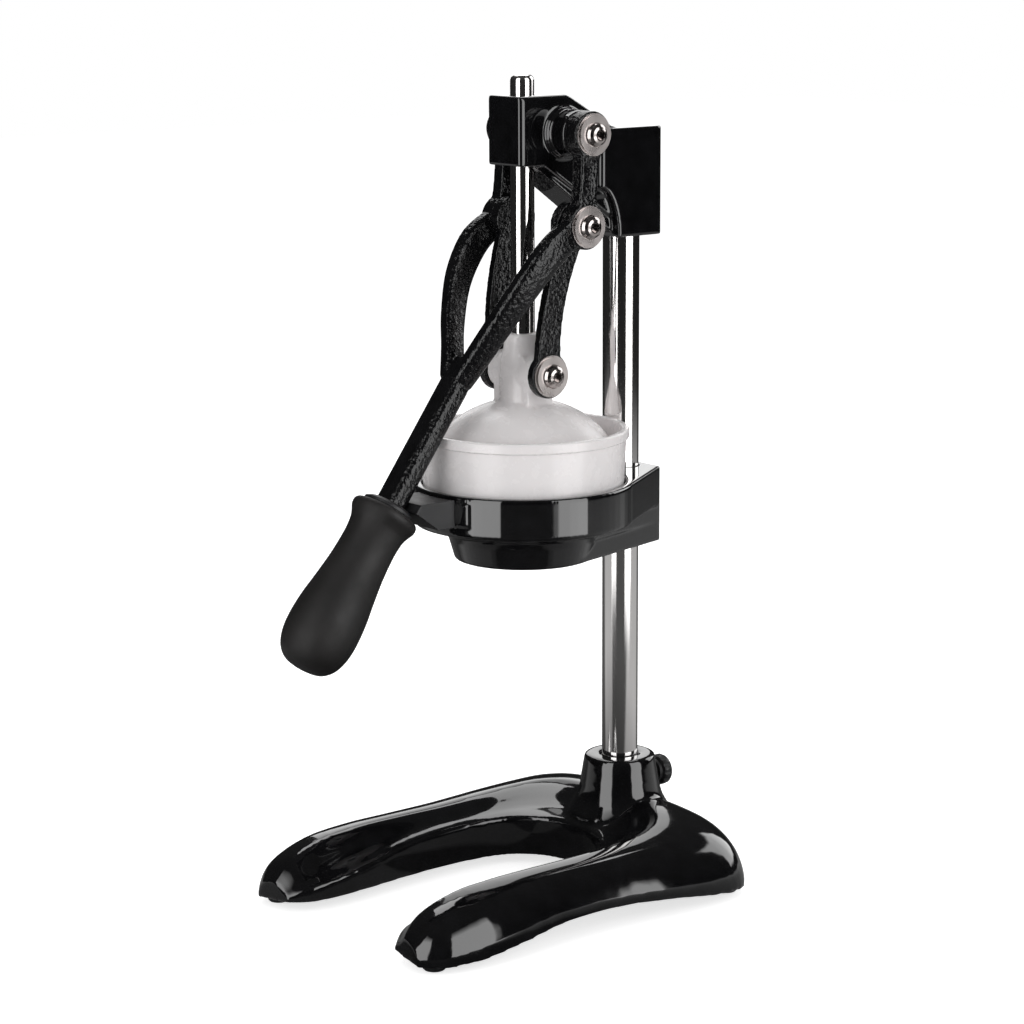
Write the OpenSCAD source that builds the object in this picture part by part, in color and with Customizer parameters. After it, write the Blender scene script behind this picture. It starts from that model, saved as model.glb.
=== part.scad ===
// Lever citrus juice press, free-standing.
// X runs across the press and is its plane of symmetry, -Y is the front (the handle), +Z is up.
// Lengths are in millimetres. The press stands on its rubber pads at z = 0.

/* [Column] */
// Outer diameter of the chromed column
column_d = 22; // [18:0.5:26]
// Wall thickness of the column tube
column_wall = 2.6; // [2:0.1:4]
// Height of the column's top end above the table
column_top = 449; // [430:1:460]
// Distance from the middle of the outline, front to back, to the column
column_y = 102.4; // [90:0.1:120]

/* [Base] */
// Height of the boss that holds the column
boss_h = 72; // [60:1:90]
// Radius of the boss at its top
boss_r = 21; // [18:0.5:24]
// Radius of the boss where it meets the horseshoe
boss_foot_r = 28; // [25:0.5:32]
// Width of the horseshoe over both legs, as a factor on its plan
base_wide = 1; // [0.9:0.01:1.1]
// Height of the crest of each leg, as a factor
base_tall = 1; // [0.9:0.01:1.1]
// Wall thickness of the hollow casting
base_wall = 5; // [4:0.5:7]
// Radius of the rubber pads
pad_r = 7; // [5:0.5:9]

/* [Cup bracket] */
// Distance between the column's axis and the press rod's axis
rod_offset = 75.5; // [72:0.5:80]
// Height of the top edge of the ring that carries the cup
ring_top = 252.5; // [245:0.5:260]
// Height of the ring's upright band
ring_band = 24.5; // [18:0.5:28]
// Height of the funnel below the band
funnel_h = 21.7; // [16:0.5:26]
// Outer radius of the ring
ring_r = 65.4; // [64:0.2:68]
// Outer radius at the bottom of the funnel
funnel_r = 41.3; // [38:0.5:48]
// Half the width of the clamp round the column
clamp_half = 20; // [18:0.5:24]

/* [Cup and reamer] */
// Outer radius of the cup's rim
cup_r = 62.3; // [61:0.1:62.5]
// Height of the cup's rim above the ring
cup_above = 31.5; // [25:0.5:36]
// Wall thickness of the cup
cup_wall = 2.2; // [1.6:0.1:3]
// Radius of the reamer at its foot
reamer_r = 35; // [30:0.5:38]
// Number of ribs on the reamer
reamer_ribs = 10; // [6:1:14]
// Number of strainer slots round the reamer
strainer_slots = 24; // [12:1:30]

/* [Press] */
// Diameter of the press rod
rod_d = 14; // [12:0.5:16]
// Outer radius of the bell that presses the fruit
bell_r = 54.5; // [50:0.5:55.5]
// Height of the bell's dome
dome_h = 39; // [34:0.5:42]
// Wall thickness of the bell
bell_wall = 4.5; // [3:0.5:6]
// Height of the top of the press rod above the head
rod_above = 12; // [8:0.5:20]

/* [Head] */
// Height of the top of the head
head_top = 477.5; // [474:0.5:482]
// Height of the front block
block_h = 40; // [36:0.5:44]
// Half the width of the front block
block_half = 15.3; // [14:0.1:16.5]
// Distance from the rod's axis to the front face
block_front = 14; // [12:0.5:18]
// Height of the rear block that grips the column
rear_h = 64; // [58:0.5:70]

/* [Lever and links] */
// Distance between the two pivots on the lever
crank_len = 52.5; // [51:0.1:54]
// Distance between the two pivots of a link
link_len = 88; // [86:0.1:90]
// Lean of the crank from the vertical with the handle down, in degrees
crank_lean = 4.4; // [3:0.1:6]
// Lean of the handle from the vertical with the handle down, in degrees
handle_lean = 36.2; // [36:0.1:37.5]
// Length of the handle from the lower pivot to the grip's top
stem_len = 195; // [190:1:205]
// Length of the rubber grip
grip_len = 103; // [90:1:115]
// Largest radius of the grip
grip_r = 21.7; // [19:0.1:24]
// Outer radius of the lever's eyes
eye_r = 13.2; // [12.6:0.1:14]
// Thickness of each arm of the lever at its eyes
arm_t = 10; // [8:0.5:11]
// Thickness of each link
link_t = 5.4; // [4.5:0.1:6]
// Width of each link at its middle
link_w = 15; // [12:0.5:17]
// Radius of the pivot screws
screw_r = 4; // [3.5:0.5:4.5]
// Radius of the washers
washer_r = 11.3; // [10:0.1:12]

/* [Hidden] */
$fn = 64;
fit = 0.05;                     // radial clearance of running and sliding fits
gap = 0.3;                      // clearance between faces of pieces that move past each other
col_r = column_d / 2;
rod_r = rod_d / 2;

ring_bottom = ring_top - ring_band;
funnel_bottom = ring_bottom - funnel_h;
clamp_back = col_r + 5;
seat_z = ring_top - 16.5;       // ledge inside the ring that the cup stands on
cup_top = ring_top + cup_above;
cup_in = cup_r - 1.8 - cup_wall;

// Pivots with the handle down, from the column's axis: y, z
p1 = [19 - rod_offset, head_top - 21.5];
p2 = [p1[0] - crank_len * sin(crank_lean), p1[1] - crank_len * cos(crank_lean)];
p3 = [-rod_offset, p2[1] - sqrt(pow(link_len, 2) - pow(p2[0] + rod_offset, 2))];

block_bottom = head_top - block_h;
rear_top = head_top - 20.5;
rear_bottom = rear_top - rear_h;

// Stack across the press, distances from the middle plane
eye_in = 31;                    // inner face of the lever's eyes
eye_out = eye_in + arm_t;
boss_end = eye_in - gap;        // end of the head's side bosses and of the links' upper eyes
link_in = 20;                   // inner face of a link at its lower eye
link_out = link_in + link_t;
neck_end = link_in - gap;       // end of the neck's side bosses
bush_r = 7;
flange_t = 1;
flange_r = washer_r + 0.9;
washer_t = 1.2;
button_r = 7;
button_h = 4.4;

dome_z = p3[1] - 55;            // where the bell's dome meets its skirt
neck_top = p3[1] + 23;
rod_bottom = p3[1] + 9.5;

pad_spots = [[77 * base_wide, -203], [-77 * base_wide, -203], [80 * base_wide, 16], [-80 * base_wide, 16]];
knob_z = boss_h - 17;
knob_y = boss_foot_r - 1;

black = [0.03, 0.03, 0.032];
matt = [0.05, 0.05, 0.05];
white = [0.93, 0.92, 0.91];
metal = [0.75, 0.75, 0.77];
steel = [0.62, 0.61, 0.6];

// Catmull-Rom curve through the rows of a table, u counts rows
function row(p, i) = p[max(0, min(len(p) - 1, i))];
function curve(p, u) =
    let (i = min(floor(u), len(p) - 2), t = u - i,
         a = row(p, i - 1), b = row(p, i), c = row(p, i + 1), d = row(p, i + 2))
    0.5 * ((2 * b) + (c - a) * t + (2 * a - 5 * b + 4 * c - d) * t * t + (3 * b - a - 3 * c + d) * t * t * t);

// Solid through a list of closed rings with the same number of points
module loft(rings) {
    n = len(rings[0]);
    m = len(rings);
    polyhedron(
        points = [for (r = rings) for (p = r) p],
        faces = concat(
            [[for (j = [n - 1:-1:0]) j]],
            [for (i = [0:m - 2]) for (j = [0:n - 1]) let (k = (j + 1) % n, a = i * n + j, b = i * n + k)
                each [[a, b, b + n], [a, b + n, a + n]]],
            [[for (j = [0:n - 1]) (m - 1) * n + j]]),
        convexity = 8);
}

module at_column() { translate([0, column_y, 0]) children(); }
module at_rod() { at_column() translate([0, -rod_offset, 0]) children(); }
module both_sides() { children(); mirror([1, 0, 0]) children(); }
module along_x(x0, x1, r) { translate([x0, 0, 0]) rotate([0, 90, 0]) cylinder(h = x1 - x0, r = r); }
module at_pivot(p) { at_column() translate([0, p[0], p[1]]) children(); }
// Lever frame: origin on the lower pivot's axis, the handle along -Z, the front along -Y
module at_lever() { at_pivot(p2) rotate([-handle_lean, 0, 0]) children(); }

// ---------------------------------------------------------------- base
// Rows from the middle of the back to the tip of a leg:
// inner edge x, y, outer edge x, y, height of the inner wall, of the crest, crest's place, outer and inner lower edges
half_base = [
    [0, -34, 0, 33, 33, 48, 0.6, 12, 9],
    [14, -35, 34, 34, 33, 48, 0.6, 11, 9],
    [27, -39.5, 66, 34.5, 32.5, 46, 0.56, 8, 9],
    [37, -47.5, 85, 24, 32, 44, 0.5, 4, 9],
    [43.5, -58, 94, 2, 31.5, 42.5, 0.44, 6, 9],
    [47, -74, 96, -34, 31, 41, 0.4, 12, 8],
    [48, -100, 94, -78, 30.5, 40, 0.38, 15, 8],
    [48, -128, 95, -118, 28, 40.5, 0.38, 14, 7],
    [47, -156, 102, -154, 23, 41.5, 0.4, 10, 5],
    [48, -180, 105, -186, 18.5, 40, 0.44, 6, 4],
    [53.5, -200, 98, -208, 14, 32, 0.5, 4, 4],
    [64, -213, 85, -217.5, 10, 18, 0.5, 4, 4]];
base_rows = concat(
    [for (i = [len(half_base) - 1:-1:1]) let (r = half_base[i]) [-r[0], r[1], -r[2], r[3], r[4], r[5], r[6], r[7], r[8]]],
    half_base);
function base_z(r, f) = f < r[6]
    ? r[4] + (r[5] - r[4]) * (1 - cos(180 * f / r[6])) / 2
    : r[7] + (r[5] - r[7]) * pow(max(0, 1 - pow((f - r[6]) / (1 - r[6]), 2.2)), 0.55);
function base_point(r, f, z) = [(r[0] + (r[2] - r[0]) * f) * base_wide, r[1] + (r[3] - r[1]) * f, z];
base_steps = [0.02, 0.1, 0.22, 0.34, 0.46, 0.58, 0.68, 0.77, 0.85, 0.92, 0.97, 1];
function base_ring(r) = concat(
    [base_point(r, 0, r[8]), base_point(r, 0, r[4] - 1.5)],
    [for (f = base_steps) base_point(r, f, f == 1 ? r[7] : base_z(r, f) * base_tall)]);
function base_width(r) = norm([r[2] - r[0], r[3] - r[1]]);
function cavity_ring(r) = let (w = base_width(r), a = base_wall / w, b = 1 - base_wall / w)
    concat([base_point(r, a, -1)],
        [for (k = [0:5]) let (f = a + (b - a) * k / 5)
            base_point(r, f, max(1, base_z(r, f + (k == 0 ? 0.02 : k == 5 ? -0.03 : 0)) * base_tall - base_wall - (k == 5 ? 5 : 0.5)))],
        [base_point(r, b, -1)]);

module base_casting() {
    last = len(base_rows) - 1;
    color(black) at_column() difference() {
        union() {
            difference() {
                loft([for (u = [0:0.5:last]) base_ring(curve(base_rows, u))]);
                loft([for (u = [1.75:0.5:last - 1.7]) cavity_ring(curve(base_rows, u))]);
            }
            rotate_extrude() polygon([[0, 5], [boss_foot_r - 3, 5], [boss_foot_r + 3, 36], [boss_foot_r + 1, 39],
                [boss_foot_r - 0.4, 43], [boss_r + 0.6, boss_h - 3.4], [boss_r - 0.6, boss_h - 1.2], [boss_r - 3, boss_h], [0, boss_h]]);
            for (s = pad_spots) translate([s[0], s[1], 5.2]) cylinder(h = 13, r = pad_r + 1.5);
        }
        translate([0, 0, 18]) cylinder(h = boss_h, r = col_r + fit);
        cylinder(h = 40, r = 5.2);
        cylinder(h = 11, r = 12);
        translate([0, 0, knob_z]) rotate([-90, 0, 0]) cylinder(h = 60, r = 4);
        // round flat seat for the thumbscrew at the back of the boss
        translate([0, knob_y, knob_z]) rotate([-90, 0, 0]) cylinder(h = 20, r = 10.5);
        for (s = pad_spots) translate([s[0], s[1], -1]) cylinder(h = 7, r = pad_r);
    }
}

module foot_pads() {
    color(matt) at_column() for (s = pad_spots) translate([s[0], s[1], 0]) rotate_extrude()
        polygon([[0, 0], [pad_r - 1.2, 0], [pad_r - 0.4, 0.8], [pad_r, 2], [pad_r, 6], [0, 6]]);
}

module column_tube() {
    color(metal) at_column() rotate_extrude()
        polygon([[col_r - column_wall, 18], [col_r - 0.5, 18], [col_r, 18.5], [col_r, column_top - 0.5],
            [col_r - 0.5, column_top], [col_r - column_wall, column_top]]);
}

module column_plug() {
    color(steel) at_column() translate([0, 0, 18]) difference() {
        cylinder(h = 30, r = col_r - column_wall);
        translate([0, 0, -1]) cylinder(h = 25, r = 5);
    }
}

module base_bolt() {
    color(steel) at_column() union() {
        translate([0, 0, 2.6]) cylinder(h = 6.4, r = 9.2, $fn = 6);
        translate([0, 0, 8]) cylinder(h = 30, r = 5);
    }
}

module base_washer() {
    color(steel) at_column() translate([0, 0, 9]) difference() {
        cylinder(h = 2, r = 11.5);
        translate([0, 0, -1]) cylinder(h = 4, r = 5.2);
    }
}

module base_knob() {
    color(matt) at_column() translate([0, 0, knob_z]) rotate([-90, 0, 0]) union() {
        translate([0, 0, col_r + gap]) cylinder(h = knob_y - col_r + 2, r = 4 - fit);
        difference() {
            translate([0, 0, knob_y + gap]) rotate_extrude() polygon([[0, 0], [7.2, 0], [7.2, 3], [9, 4.2], [9.5, 5.6],
                [9.5, 11], [8.8, 12.6], [7, 13.6], [4, 14], [0, 14]]);
            for (a = [0:30:330]) rotate(a) translate([10.6, 0, knob_y + 4]) cylinder(h = 12, r = 1.9);
        }
    }
}

// ---------------------------------------------------------------- cup bracket
// Tangent strap from a circle of radius r round the rod's axis to the clamp round the column
module strap(r, z0, z1) {
    d = rod_offset + clamp_back - 6;
    l = norm([clamp_half, d]);
    a = atan2(clamp_half, d) + acos(r / l);
    t = [r * sin(a), r * cos(a)];
    translate([0, 0, z0]) linear_extrude(height = z1 - z0)
        polygon([[-t[0], t[1]], [-clamp_half, d], [-clamp_half + 1.2, d + 3.6], [-clamp_half + 4.6, d + 6],
            [clamp_half - 4.6, d + 6], [clamp_half - 1.2, d + 3.6], [clamp_half, d], [t[0], t[1]]]);
}

module cup_bracket() {
    color(black) at_rod() difference() {
        union() {
            rotate_extrude() polygon([[30, funnel_bottom], [funnel_r - 1, funnel_bottom], [funnel_r, funnel_bottom + 1],
                [funnel_r + 3.5, funnel_bottom + 4.5], [funnel_r + 9, funnel_bottom + 8.4], [ring_r - 8, ring_bottom - 7.4],
                [ring_r - 3.2, ring_bottom - 3.6], [ring_r - 1.4, ring_bottom - 0.8], [ring_r, ring_bottom + 1.2], [ring_r, ring_top - 1.2],
                [ring_r - 1.2, ring_top], [30, ring_top]]);
            strap(ring_r - 0.4, ring_bottom + 1.2, ring_top);
            strap(funnel_r + 6, funnel_bottom + 0.6, ring_bottom + 2);
            // pad on the front of the ring that carries the lever rest
            intersection() {
                translate([0, 0, ring_top - 17]) cylinder(h = 14, r = ring_r + 3);
                translate([-29, -ring_r - 10, ring_top - 20]) cube([58, 40, 30]);
            }
        }
        // bowl that the cup stands in, open below
        rotate_extrude() polygon([[0, funnel_bottom - 1], [funnel_r - 4.8, funnel_bottom - 1], [funnel_r - 4.8, funnel_bottom + 4],
            [ring_r - 10.2, seat_z - 8], [ring_r - 10.2, seat_z], [ring_r - 5.2, seat_z], [ring_r - 5.2, ring_top - 0.8],
            [ring_r - 4.4, ring_top + 1], [0, ring_top + 1]]);
        translate([0, rod_offset, funnel_bottom - 5]) cylinder(h = 100, r = col_r + fit);
        for (z = [funnel_bottom + 12, ring_top - 12]) translate([0, rod_offset, z]) rotate([-90, 0, 0]) cylinder(h = 40, r = 4);
    }
}

module set_screw() {
    // socket set screw along +Y, its point on the column
    translate([0, col_r + fit, 0]) rotate([-90, 0, 0]) difference() {
        union() { cylinder(h = 1, r1 = 3, r2 = 4); translate([0, 0, 1]) cylinder(h = 3.4, r = 4); }
        translate([0, 0, 1.4]) cylinder(h = 4, r = 2.3, $fn = 6);
    }
}

module bracket_set_screws() {
    color(steel) at_column() for (z = [funnel_bottom + 12, ring_top - 12]) translate([0, 0, z]) set_screw();
}

module lever_rest() {
    a = handle_lean;
    // in the lever's frame the rest ends beside the stem and above the grip's collar
    color(matt) difference() {
        at_rod() translate([-19, 0, 0]) rotate([90, 0, 90]) linear_extrude(height = 38)
            polygon([[-ring_r - 1, ring_top - 20], [-ring_r - 9, ring_top - 20], [-ring_r - 14, ring_top - 18.6],
                [-ring_r - 28, ring_top - 10], [-ring_r - 34, ring_top - 1], [-ring_r - 16, ring_top - 1], [-ring_r - 1, ring_top - 1.6]]);
        at_rod() translate([0, 0, ring_top - 40]) cylinder(h = 60, r = ring_r + 3);
        at_lever() translate([-60, -60, -stem_len - 60]) cube([120, 60 + 7.2 + gap, 200]);
        at_lever() translate([-60, -60, -stem_len - 60]) cube([120, 120, 60 + 4.5]);
    }
}

// ---------------------------------------------------------------- cup and reamer
module juice_cup() {
    w = cup_wall;
    foot = ring_r - 6;
    color(white) at_rod() rotate_extrude() polygon([
        [cup_r - 0.6, cup_top], [cup_r, cup_top - 0.8], [cup_r, cup_top - 5.4], [cup_r - 0.5, cup_top - 6], [cup_r - 1.6, cup_top - 6.4],
        [foot, ring_top], [foot - 0.2, seat_z], [foot - 6, seat_z], [foot - 8, seat_z - 2.4], [13, seat_z - 15], [11.5, seat_z - 17],
        [11, funnel_bottom + 3], [11 - w, funnel_bottom + 3], [11 - w, seat_z - 15], [13, seat_z - 15 + w],
        [foot - 8, seat_z - 2.4 + w + 0.2], [foot - 6.4, seat_z + w], [foot - w - 0.4, seat_z + w], [foot - w, ring_top],
        [cup_in, cup_top - 6], [cup_in, cup_top - 0.6], [cup_in + 0.6, cup_top]]);
}

module reamer() {
    z = seat_z + cup_wall;
    foot = ring_r - 6 - cup_wall - 1.2;
    h = 47;
    color(white) at_rod() difference() {
        union() {
            rotate_extrude() polygon([[reamer_r - 3, z + 0.2], [reamer_r + 2, z + 0.2], [foot - 4, z + 0.2], [foot - 3.6, z], [foot, z], [foot, z + 3.4],
                [foot - 1.6, z + 3.4], [foot - 1.6, z + 2.2], [reamer_r + 1, z + 2.2], [reamer_r - 3, z + 6], [reamer_r - 6, z + 16], [reamer_r - 12, z + 28],
                [reamer_r - 20, z + 38], [4, z + h - 3], [0, z + h - 2], [0, z + h - 4.6], [4, z + h - 5.6], [reamer_r - 22, z + 35.6],
                [reamer_r - 14, z + 26], [reamer_r - 8.2, z + 15], [reamer_r - 5.2, z + 5]]);
            // ribs that tear the pulp
            intersection() {
                union() for (i = [0:reamer_ribs - 1]) rotate(i * 360 / reamer_ribs) translate([0, -1.3, z]) cube([reamer_r + 3, 2.6, h]);
                rotate_extrude() polygon([[3, z + h - 5], [reamer_r - 22, z + 35.6], [reamer_r - 14, z + 26], [reamer_r - 7, z + 10], [reamer_r - 5, z + 1],
                    [reamer_r + 1.4, z + 1], [reamer_r - 0.5, z + 8], [reamer_r - 3.4, z + 17], [reamer_r - 9, z + 29.5],
                    [reamer_r - 17, z + 39.5], [6, z + h - 1.2], [3, z + h]]);
            }
        }
        for (i = [0:strainer_slots - 1]) rotate((i + 0.5) * 360 / strainer_slots) translate([reamer_r + 4, -1, z - 1]) cube([foot - reamer_r - 9, 2, 6]);
    }
}

// ---------------------------------------------------------------- press
module press_bell() {
    w = bell_wall;
    z = dome_z;
    color(white) at_rod() difference() {
        union() {
            // dome, skirt and neck
            rotate_extrude() polygon(concat(
                [[bell_r - w + 1, z - 6], [bell_r - 0.6, z - 6], [bell_r, z - 5.4], [bell_r, z]],
                [for (a = [8:8:64]) [bell_r * cos(a), z + dome_h * sin(a)]],
                [[20.5, z + dome_h - 1.4], [17.4, z + dome_h + 1.6], [15.6, z + dome_h + 7], [14, z + dome_h + 16], [12, z + dome_h + 27],
                 [11, neck_top - 4], [10.6, neck_top - 0.8], [9.8, neck_top], [0, neck_top], [0, z + dome_h - w]],
                [for (a = [80:-10:10]) [(bell_r - w) * cos(a), z + (dome_h - w) * sin(a)]],
                [[bell_r - w, z]]));
            // bosses toward the links, on a web down to the dome
            translate([0, 0, p3[1]]) along_x(-neck_end, neck_end, 11.5);
            translate([-15.4, 0, z + dome_h - 8]) rotate([90, 0, 0]) linear_extrude(height = 13, center = true)
                polygon([[-3.4, 0], [34.2, 0], [30.8, 23], [28, 30], [26.6, 40], [24.6, 45], [6.2, 45], [4.2, 40], [2.8, 30], [0, 23]]);
        }
        translate([0, 0, rod_bottom]) cylinder(h = 60, r = rod_r);
        translate([0, 0, p3[1]]) along_x(-30, 30, 7);
    }
}

module cross_sleeve() {
    color(steel) at_pivot(p3) difference() {
        along_x(-neck_end, neck_end, 7);
        both_sides() along_x(neck_end - 15, neck_end + 1, screw_r);
    }
}

module press_rod() {
    top = head_top + rod_above;
    color(metal) at_rod() rotate_extrude() polygon([[0, rod_bottom], [rod_r, rod_bottom], [rod_r, top - 3.4], [rod_r - 0.6, top - 1.7],
        [rod_r - 1.9, top - 0.5], [rod_r - 3.6, top], [0, top]]);
}

// ---------------------------------------------------------------- head
module head_casting() {
    front = -rod_offset - block_front;
    h = block_half;
    c = clamp_half;
    t = rear_top;
    color(black) at_column() difference() {
        union() {
            // front block with its neck back to the column
            intersection() {
                translate([-60, 0, 0]) rotate([90, 0, 90]) linear_extrude(height = 120)
                    polygon([[front, block_bottom], [front, head_top], [p1[0] + 2.5, head_top], [-24, t + 3.6], [-20, t + 1], [-15, t],
                        [0, t], [0, block_bottom - 20], [-40, block_bottom - 20], [p1[0] - 14, block_bottom]]);
                translate([0, 0, rear_bottom]) linear_extrude(height = 120)
                    polygon([[-h, 0], [-h, front + 2.6], [-h + 0.8, front + 0.8], [-h + 2.6, front], [h - 2.6, front], [h - 0.8, front + 0.8], [h, front + 2.6], [h, 0]]);
                translate([0, 60, 0]) rotate([90, 0, 0]) linear_extrude(height = 200)
                    polygon([[-h, rear_bottom], [-h, head_top - 1.6], [-h + 1.6, head_top], [h - 1.6, head_top], [h, head_top - 1.6], [h, rear_bottom]]);
            }
            // ribbed gusset under the neck
            for (k = [0:3]) translate([-h + 2.2 - (k % 2) * 1.4, 0, 0]) rotate([90, 0, 90]) linear_extrude(height = 2 * (h - 2.2 + (k % 2) * 1.4))
                polygon([[p1[0] - 22 + 8.6 * k, block_bottom + 1], [-20, block_bottom - 42 + 8.6 * k + 1], [-20, block_bottom + 1]]);
            // rear block, its lower front corner scooped for the lever's eyes
            intersection() {
                translate([-60, 0, 0]) rotate([90, 0, 90]) linear_extrude(height = 120)
                    polygon(concat([[-32.5, t - 1.6], [-31, t], [clamp_back - 1.4, t], [clamp_back, t - 1.4], [clamp_back, rear_bottom + 1.4], [clamp_back - 1.4, rear_bottom]],
                        [for (a = [0:9:90]) [-18.5 - 14 * (1 - cos(a)), rear_bottom + 30 * sin(a)]]));
                translate([0, 0, rear_bottom - 1]) linear_extrude(height = rear_h + 2)
                    polygon([[-c, clamp_back - 4.6], [-c + 1.2, clamp_back - 1.2], [-c + 4.6, clamp_back], [c - 4.6, clamp_back], [c - 1.2, clamp_back - 1.2],
                        [c, clamp_back - 4.6], [c, -31], [c - 1.6, -32.5], [-c + 1.6, -32.5], [-c, -31]]);
            }
            // stepped side bosses of the upper pivot
            translate([0, p1[0], p1[1]]) {
                along_x(-block_half - 3, block_half + 3, eye_r + 1.8);
                along_x(-boss_end, boss_end, eye_r + 0.2);
            }
        }
        translate([0, -rod_offset, 0]) cylinder(h = 600, r = rod_r + fit);
        translate([0, 0, rear_bottom - 10]) cylinder(h = column_top - rear_bottom + 10, r = col_r + fit);
        translate([0, p1[0], p1[1]]) both_sides() along_x(boss_end - 18, boss_end + 1, screw_r);
        for (z = [rear_bottom + 14, rear_top - 18]) translate([0, 0, z]) rotate([-90, 0, 0]) cylinder(h = 40, r = 4);
    }
}

module head_set_screws() {
    color(steel) at_column() for (z = [rear_bottom + 14, rear_top - 18]) translate([0, 0, z]) set_screw();
}

// ---------------------------------------------------------------- pivots
// Button-head screw along X, its shank from x0 out to the washer's face at x1
module button_screw(x0, x1) {
    difference() {
        union() {
            along_x(x0, x1 + 1, screw_r);
            translate([x1, 0, 0]) rotate([0, 90, 0]) rotate_extrude()
                polygon([[0, 0], [button_r, 0], [button_r, 0.9], [button_r - 0.7, 2.5], [button_r - 2.2, 3.8], [button_r - 3.6, button_h], [0, button_h]]);
        }
        translate([x1 + button_h - 2.6, 0, 0]) rotate([0, 90, 0]) cylinder(h = 4, r = 2.9, $fn = 6);
    }
}
module ring_x(x0, x1, r, hole) {
    difference() { along_x(x0, x1, r); along_x(x0 - 1, x1 + 1, hole); }
}
// Flanged bush: sleeve through an eye and a flange on its outer face
module flanged_bush(x0, x1) {
    difference() {
        union() { along_x(x0, x1, bush_r); along_x(x1, x1 + flange_t, flange_r); }
        along_x(x0 - 1, x1 + flange_t + 1, screw_r + fit);
    }
}

module pivot1_screws() { color(steel) at_pivot(p1) both_sides() button_screw(boss_end - 16, eye_out + flange_t + 0.1 + washer_t); }
module pivot1_washers() { color(metal) at_pivot(p1) both_sides() ring_x(eye_out + flange_t + 0.1, eye_out + flange_t + 0.1 + washer_t, washer_r, screw_r + fit); }
module pivot1_bushes() { color(metal) at_pivot(p1) both_sides() flanged_bush(eye_in, eye_out); }
module pivot2_screws() { color(steel) at_pivot(p2) both_sides() button_screw(eye_in, eye_out + flange_t + washer_t); }
module pivot2_washers() { color(metal) at_pivot(p2) both_sides() ring_x(eye_out + flange_t, eye_out + flange_t + washer_t, washer_r, screw_r + fit); }
module pivot2_bushes() { color(metal) at_pivot(p2) both_sides() flanged_bush(eye_in, eye_out); }
module pivot3_screws() { color(steel) at_pivot(p3) both_sides() button_screw(neck_end - 13, link_out + flange_t + 0.1 + washer_t); }
module pivot3_washers() { color(metal) at_pivot(p3) both_sides() ring_x(link_out + flange_t + 0.1, link_out + flange_t + 0.1 + washer_t, washer_r, screw_r + fit); }

// ---------------------------------------------------------------- lever
// Rounded bar section of width w (front to back) and thickness t (across), at offset x across and n forward
function bar(x, n, s, w, t) = [for (a = [11.25:22.5:359])
    let (c = cos(a), d = sin(a), k = 0.62)
    [x + t / 2 * sign(c) * pow(abs(c), k), -n + w / 2 * sign(d) * pow(abs(d), k), -s]];
// Rows of an arm: s along the handle, x, n, w, t
arm_rows = [
    [-3, 36, 1, 12, arm_t],
    [10, 36.4, 6, 14, arm_t],
    [26, 35.2, 9.6, 15, arm_t],
    [50, 29.5, 10.2, 14.6, arm_t],
    [75, 19.6, 7.4, 14, 10.4],
    [93, 11.6, 3.6, 14, 10.6],
    [110, 5, 0.8, 14, 9.6]];

module lever_yoke() {
    color(black) difference() {
        union() {
            at_lever() both_sides() loft([for (u = [0:0.5:6]) let (r = curve(arm_rows, u)) bar(r[1], r[2], r[0], r[3], r[4])]);
            at_lever() loft([for (r = [[98, 13, 11], [104, 13.8, 14], [112, 14.3, 15.8], [130, 14.4, 16.4], [stem_len - 12, 14.4, 16.4],
                [stem_len - 5, 14.4, 16.4]]) bar(0, 0, r[0], r[1], r[2])]);
            // tang inside the grip
            at_lever() translate([0, 0, -stem_len - grip_len + 24]) cylinder(h = grip_len - 10, r = 6.5);
            // eyes and the crank arms between them
            at_pivot(p1) both_sides() along_x(eye_in, eye_out, eye_r);
            at_pivot(p2) both_sides() along_x(eye_in, eye_out, eye_r + 0.3);
            at_pivot(p2) rotate([-crank_lean, 0, 0]) both_sides() translate([eye_in + 0.6, 0, 0]) rotate([90, 0, 90])
                linear_extrude(height = arm_t - 1.2) polygon([[-9, 0], [-7.2, 9], [-6.4, 18], [-6.2, 27], [-6.6, 36], [-8, 46], [-9.4, crank_len],
                    [9.4, crank_len], [8, 46], [6.6, 36], [6.2, 27], [6.4, 18], [7.2, 9], [9, 0]]);
        }
        for (p = [p1, p2]) at_pivot(p) both_sides() along_x(eye_in - 8, eye_out + 8, bush_r);
        // the arms stay clear of the eyes' inner faces and of the washers
        at_pivot(p2) both_sides() { along_x(eye_in - 10, eye_in, eye_r + 4); along_x(eye_out, eye_out + 10, eye_r + 2); }
    }
}

module grip_collar() {
    color(matt) at_lever() translate([0, 0, -stem_len]) difference() {
        rotate_extrude() polygon([[0, 0], [14.6, 0], [15.2, 0.8], [15.2, 2.4], [12.6, 4], [0, 4]]);
        translate([0, 0, -1]) linear_extrude(height = 8) square([16.4, 14.4], center = true);
    }
}

module handle_grip() {
    g = grip_len;
    r = grip_r;
    color(matt) at_lever() translate([0, 0, -stem_len]) difference() {
        rotate_extrude() polygon([[0, 0], [16.4, 0], [17.2, -0.7], [17.4, -2], [17.2, -6], [16.5, -14], [16.2, -24], [16.7, -36], [18, -0.46 * g],
            [19.9, -0.58 * g], [r - 0.4, -0.7 * g], [r, -0.77 * g], [r - 0.5, -0.83 * g], [r - 2.4, -0.895 * g], [r - 6, -0.95 * g],
            [r - 10.6, -0.982 * g], [r - 16, -0.997 * g], [0, -g]]);
        translate([0, 0, 24 - g]) cylinder(h = g, r = 6.5);
    }
}

// ---------------------------------------------------------------- links
// Centre line of a link in the side view, from the lower pivot: y, z, half width
bow = 5.4;
function link_mid(u) = let (p = p2 - p3, n = [-p[1], p[0]] / norm(p)) p * u + n * bow * sin(180 * pow(u, 0.9));
function link_half(u) = link_w / 2 + 1.6 * pow(abs(2 * u - 1), 3);

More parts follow.
